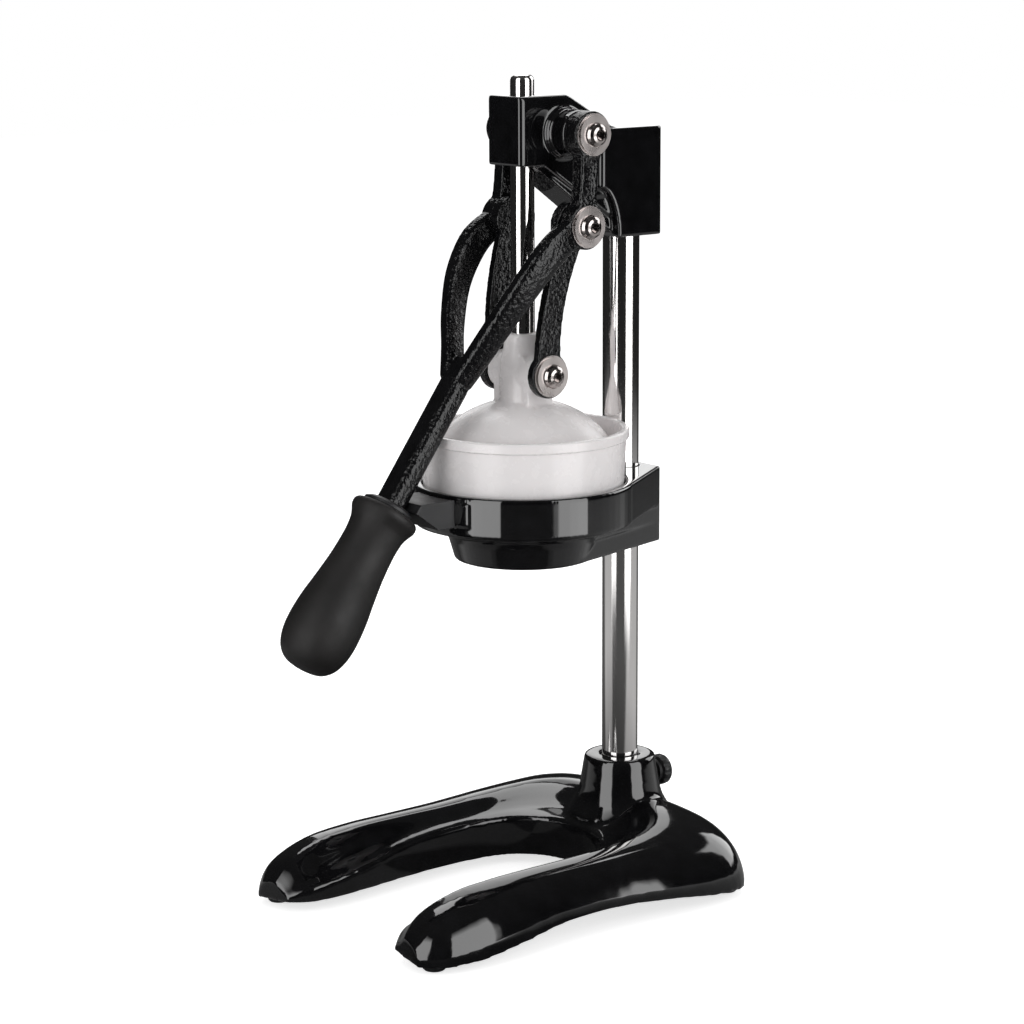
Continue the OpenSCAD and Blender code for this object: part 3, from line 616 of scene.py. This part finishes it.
def lever_section(row, side=1):
    along, across, forward, deep, wide = row
    ring = []
    for k in range(24):
        angle = math.radians(7.5 + 15 * k)
        x = across + wide / 2 * squared(math.cos(angle))
        ring.append(lever_point(side * x, forward - deep / 2 * squared(math.sin(angle)), along))
    return ring

# %% Crank arms
CRANK = [(-9, 0), (-7.2, 9), (-6.4, 18), (-6.2, 27), (-6.6, 36), (-8, 46), (-9.4, 52.5),
         (9.4, 52.5), (8, 46), (6.6, 36), (6.2, 27), (6.4, 18), (7.2, 9), (9, 0)]
PANEL = [(-3.9, 17), (-3.3, 27), (-3.9, 36), (3.9, 36), (3.3, 27), (3.9, 17)]   # sunk in its outer face
TILT = math.atan2(PIVOT1[0] - PIVOT2[0], PIVOT1[1] - PIVOT2[1])

def on_crank(outline):
    c, s = math.cos(TILT), math.sin(TILT)
    return [(PIVOT2[0] + y * c + z * s, PIVOT2[1] - y * s + z * c) for y, z in outline]

# %% Lever
EYE_IN, EYE_OUT = 31, 41            # the faces of the eyes, across
EYE_R, EYE_BORE = 13.3, 7
LINK_ROOM, WASHER_ROOM = 17.5, 15.5 # radii cut free beside the lower eye

lever = loft([lever_section(row) for row in STEM])
for side in (1, -1):
    combine(lever, [loft([lever_section(between(ARM, u), side) for u in steps(0, len(ARM) - 1, 0.25)])])
    combine(lever, [slab(on_crank(CRANK), side * (EYE_IN + 0.6), side * (EYE_OUT - 0.6))])
    combine(lever, [bar_x(side * EYE_IN, side * EYE_OUT, *pivot, EYE_R) for pivot in PIVOTS])
    cuts = [bar_x(side * (EYE_IN - 8), side * (EYE_OUT + 8), *pivot, EYE_BORE) for pivot in PIVOTS]
    cuts.append(slab(on_crank(PANEL), side * (EYE_OUT - 1.4), side * (EYE_OUT + 3)))
    cuts.append(bar_x(side * (EYE_IN - 10), side * EYE_IN, *PIVOT2, LINK_ROOM))
    cuts.append(bar_x(side * EYE_OUT, side * (EYE_OUT + 10), *PIVOT2, WASHER_ROOM))
    combine(lever, cuts, "DIFFERENCE")
skin(lever, "lever_yoke", "yoke_skin", "lever", cast_enamel, 0.0007, 4)

# %% [markdown]
# ## The bell
# The bell's dome is a full, even arch. A straight web rises from it on both sides and carries
# the pivot of the links, and the neck above it takes the rod.

# %% Bell
PIVOT3_Z = 316.94
DOME_Z = PIVOT3_Z - 55              # where the dome starts, above a short straight rim
BELL_R, DOME_HEIGHT, SHELL = 54.5, 39, 4.5
ROD_R, SLEEVE_R = 7, 7
ARCH = [math.radians(angle) for angle in range(0, 76, 3)]
NECK = [(14, DOME_Z + 40.5), (13.4, PIVOT3_Z + 4), (12.6, PIVOT3_Z + 9), (11.6, PIVOT3_Z + 14),
        (11, PIVOT3_Z + 19), (10.6, PIVOT3_Z + 22.2), (9.8, PIVOT3_Z + 23)]
WEB = [(-16, 36), (-16, 52), (-14.6, 60), (-11, 66), (11, 66), (14.6, 60), (16, 52), (16, 36)]

def dome(radius, height):
    return [(radius * math.cos(a), DOME_Z + height * math.sin(a)) for a in ARCH]

bell = turn([(BELL_R, DOME_Z - 6)] + dome(BELL_R, DOME_HEIGHT) + NECK, ROD_Y)
combine(bell, [bar_x(-19.7, 19.7, ROD_Y, PIVOT3_Z, 11.5)])
combine(bell, [loft([[(x, ROD_Y + y, DOME_Z + z) for x, z in WEB] for y in (-9.5, 9.5)])])
hollow_r, hollow_height = BELL_R - SHELL, DOME_HEIGHT - SHELL
inside = turn([(hollow_r, DOME_Z - 8)] + dome(hollow_r, hollow_height) + [(0, DOME_Z + hollow_height)], ROD_Y)
rod_bore = bar_z(0, ROD_Y, PIVOT3_Z + 9.5, PIVOT3_Z + 60, ROD_R)
combine(bell, [inside, rod_bore, bar_x(-30, 30, ROD_Y, PIVOT3_Z, SLEEVE_R)], "DIFFERENCE")
skin(bell, "press_bell", "bell_skin", "press", white_plastic, 0.0008, 4)

# %% [markdown]
# ## The cup bracket and the lever's rest
# The bracket is a ring with a steep funnel below. Straps run from it as tangents to the clamp
# round the column. A square rubber block on its front takes the handle when it is down, so the
# block is cut along the handle. The bracket's bores are cut after the remesh: cut before it,
# they left open edges, and the remesh dropped the ring.

# %% Plan of the bracket
RING_TOP, RING_BOTTOM, FUNNEL_BOTTOM = 252.5, 228.0, 206.3
RING_R, FUNNEL_R = 65.4, 41.3
CLAMP, CLAMP_BACK = 20.0, 16.0      # half width of the clamp, and its reach behind the column
CLAMP_CORNER = 6                    # length over which its rear corners are rounded

def strap(radius, z0, z1):
    reach = CLAMP_BACK - CLAMP_CORNER - ROD_Y
    turned_by = math.atan2(CLAMP, reach) + math.acos(radius / math.hypot(CLAMP, reach))
    right = [(radius * math.sin(turned_by), radius * math.cos(turned_by)), (CLAMP, reach + 3),
             (CLAMP - 0.8, reach + 5), (CLAMP - 2.8, reach + CLAMP_CORNER)]
    plan = right + [(-x, y) for x, y in reversed(right)]
    return loft([[(x, ROD_Y + y, z) for x, y in plan] for z in (z0, z1)])

def front_arc(radius, half):
    return [(radius * math.sin(a), ROD_Y - radius * math.cos(a))
            for a in (math.asin(half / radius) * k / 8 for k in range(-8, 9))]

# %% Bracket
OUTSIDE = [(0, FUNNEL_BOTTOM), (FUNNEL_R - 1, FUNNEL_BOTTOM), (FUNNEL_R, FUNNEL_BOTTOM + 1),
           (FUNNEL_R + 1.6, RING_BOTTOM - 15), (FUNNEL_R + 3.4, RING_BOTTOM - 9),
           (FUNNEL_R + 5.6, RING_BOTTOM - 5), (FUNNEL_R + 8.6, RING_BOTTOM - 2.6),
           (RING_R - 10, RING_BOTTOM - 1.4), (RING_R - 3, RING_BOTTOM - 0.4),
           (RING_R - 0.9, RING_BOTTOM + 0.2), (RING_R, RING_BOTTOM + 1.2), (RING_R, RING_TOP - 1.2),
           (RING_R - 0.4, RING_TOP - 0.3), (RING_R - 1.2, RING_TOP), (0, RING_TOP)]
SEAT_Z = RING_TOP - 16.5            # the ledge that the cup stands on
SEAT_R, CUP_R = RING_R - 10.2, RING_R - 5.2
INSIDE = [(0, FUNNEL_BOTTOM - 1), (FUNNEL_R - 4.8, FUNNEL_BOTTOM - 1), (FUNNEL_R - 4.8, RING_BOTTOM - 7),
          (FUNNEL_R + 1.4, RING_BOTTOM - 1.4), (SEAT_R, SEAT_Z - 3.6), (SEAT_R, SEAT_Z),
          (CUP_R, SEAT_Z), (CUP_R, RING_TOP - 0.8), (RING_R - 4.4, RING_TOP + 1), (0, RING_TOP + 1)]
CLAMP_BORE, CLAMP_SIDES = 11.1, 70
SET_SCREW_R = 4

bracket = turn(OUTSIDE, ROD_Y)
pad_plan = front_arc(RING_R + 1.2, 26) + front_arc(RING_R - 4, 22)[::-1]
pad = loft([[(x, y, z) for x, y in pad_plan] for z in (RING_TOP - 17, RING_TOP - 4)])
combine(bracket, [strap(RING_R - 0.4, RING_BOTTOM + 1.2, RING_TOP),
                  strap(FUNNEL_R + 3, RING_BOTTOM - 9, RING_BOTTOM + 2),
                  strap(FUNNEL_R + 0.6, FUNNEL_BOTTOM + 0.6, RING_BOTTOM - 8), pad])
bowl = turn(INSIDE, ROD_Y)
screw_holes = [bar_y(0, 40, z, SET_SCREW_R) for z in (FUNNEL_BOTTOM + 12, RING_TOP - 12)]
column_bore = bar_z(0, 0, FUNNEL_BOTTOM - 5.3, RING_TOP + 5.3, CLAMP_BORE, CLAMP_SIDES)
combine(bracket, [bowl], "DIFFERENCE")
skin(bracket, "cup_bracket", "bracket_skin", "frame", gloss_enamel, 0.0008, 4,
     [column_bore, *screw_holes])

# %% Rest
STEM_END = 195                      # where the grip starts, along the handle
REST_HALF = 17
FRONT = ROD_Y - RING_R              # the front of the ring
BLOCK = [(FRONT + 8, RING_TOP - 18), (FRONT - 44, RING_TOP - 18), (FRONT - 44, RING_TOP - 2),
         (FRONT + 8, RING_TOP - 2)]

def along_lever(forward0, forward1, along0, along1):
    corners = ((forward0, along0), (forward1, along0), (forward1, along1), (forward0, along1))
    return slab([lever_point(0, forward, along)[1:] for forward, along in corners], -60, 60)

rest = slab(BLOCK, -REST_HALF, REST_HALF)
combine(rest, [bar_z(0, ROD_Y, RING_TOP - 40, RING_TOP + 20, RING_R + 1.2),
               along_lever(-7.1, 60, STEM_END - 140, STEM_END + 60),
               along_lever(-60, 60, STEM_END - 4.5, STEM_END + 60)], "DIFFERENCE")
skin(rest, "lever_rest", "rest_skin", "frame", black_plastic, 0.0005, 4)

# %% [markdown]
# ## The grip
# The grip is moulded rubber, round about the handle: a flared lip against the thumb, a slim
# neck and a full belly that fills the hand. It could be a cylinder that is scaled ring by ring.
# A profile of radius and place along the handle says the same in two lists, so rings round the
# handle make it.

# %% Grip
LIP = [(14, 0), (18, 0), (19.2, 0.6), (19.9, 1.8), (20.1, 3.4), (19.7, 5.4), (18.4, 8), (17.1, 11),
       (16.5, 14.4)]
BELLY = [(16.6, 14), (16.2, 18), (16.2, 26), (17, 38), (18.7, 51.5), (20.5, 64), (21.3, 77),
         (20.4, 87.5), (17.3, 95.8), (11.9, 101), (4.7, 102.8), (0.1, 103)]

def grip_ring(radius, along):
    angles = [math.tau * k / SIDES for k in range(SIDES)]
    return [lever_point(radius * math.cos(a), radius * math.sin(a), along) for a in angles]

belly = [between(BELLY, u) for u in steps(1, len(BELLY) - 1, 0.2)]
grip = loft([grip_ring(radius, STEM_END + down) for radius, down in [(TIP, 0)] + LIP + belly])
skin(grip, "handle_grip", "grip_skin", "lever", grip_rubber, 0.0009, 3)

# %% [markdown]
# ## The pieces that keep the CAD form
# The thumbscrew's head is shorter than its solid, so only what stands out of the boss is pressed
# together. The links and the head are castings whose solids have the right form and only need
# round edges. The cup and the rod are exact as they are.

# %% Thumbscrew
BOSS_FACE = 27.3                    # where the screw comes out of the boss, behind the column
SHORTER = 0.67

screw = copy_of("base_knob", "knob_skin")
face = (COLUMN_Y + BOSS_FACE) / 1000
for vertex in screw.data.vertices:
    if vertex.co.y > face:
        vertex.co.y = face + (vertex.co.y - face) * SHORTER
bpy.ops.object.shade_smooth_by_angle(angle=CREASE)
stands_for(screw, "base_knob", "thumbscrew")

# %% Links and head
for side in ("left", "right"):
    cast("link_" + side, "link_skin_" + side, side + "_link", 0.0006, 4)
cast("head_casting", "head_skin", "frame", 0.00075, 9)

# %% Cup and rod
turned("juice_cup", "cup_skin", "frame")
turned("press_rod", "rod_skin", "press")
